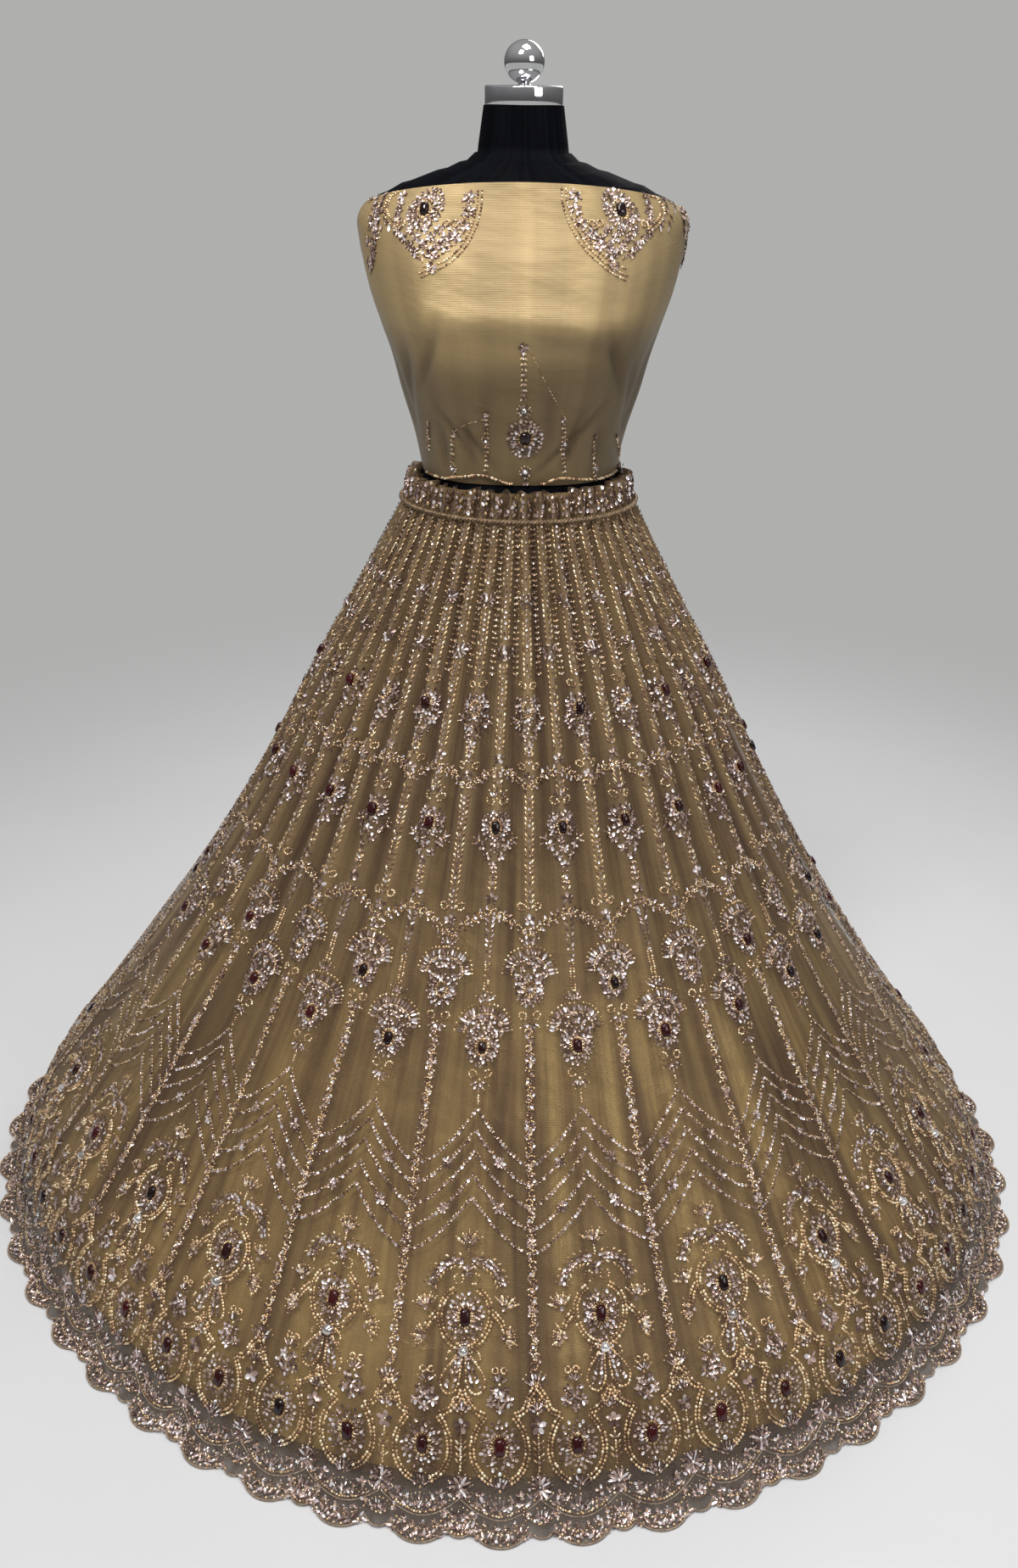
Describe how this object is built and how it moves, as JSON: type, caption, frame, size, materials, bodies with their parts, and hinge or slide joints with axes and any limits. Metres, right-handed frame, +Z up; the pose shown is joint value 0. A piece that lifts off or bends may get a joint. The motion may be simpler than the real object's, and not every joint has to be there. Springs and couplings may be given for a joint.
{
  "type": "lehenga choli on a dress form",
  "caption": "Flared gold lehenga skirt of net gores over satin and a wrapped satin choli, both worn by a limbless black dress form with a chrome ball finial.",
  "frame": {"origin": "centre of the stand's foot on the floor", "axes": "+Z up along the form's pole, -Y towards the front of the dress, +X towards the right side of the picture"},
  "size_m": [1.4674, 1.4883, 1.463],
  "materials": {
    "net": "soft sheer net",
    "satin": "gold satin",
    "gold_cord": "twisted metallic cord",
    "black_jersey": "matte jersey",
    "chrome": "polished",
    "stand_paint": "satin black",
    "beads": "antique gold beads",
    "sequins": "rose silver metallic sequins",
    "stones": "faceted dark red",
    "crystals": "faceted foil-backed clear"
  },
  "bodies": {
    "root": {"kali_01": "net", "kali_02": "net", "kali_03": "net", "kali_04": "net", "kali_05": "net", "kali_06": "net", "kali_07": "net", "kali_08": "net", "kali_09": "net", "kali_10": "net", "kali_11": "net", "kali_12": "net", "kali_13": "net", "kali_14": "net", "kali_15": "net", "kali_16": "net", "kali_17": "net", "kali_18": "net", "kali_19": "net", "kali_20": "net", "kali_21": "net", "kali_22": "net", "kali_23": "net", "kali_24": "net", "kali_25": "net", "skirt_lining": "satin", "waist_cord": "gold_cord", "choli_wrap": "satin", "form_torso": "black_jersey", "neck_cap": "chrome", "ball_finial": "chrome", "stand_pole": "stand_paint", "stand_base": "stand_paint"}
  },
  "joints": []
}
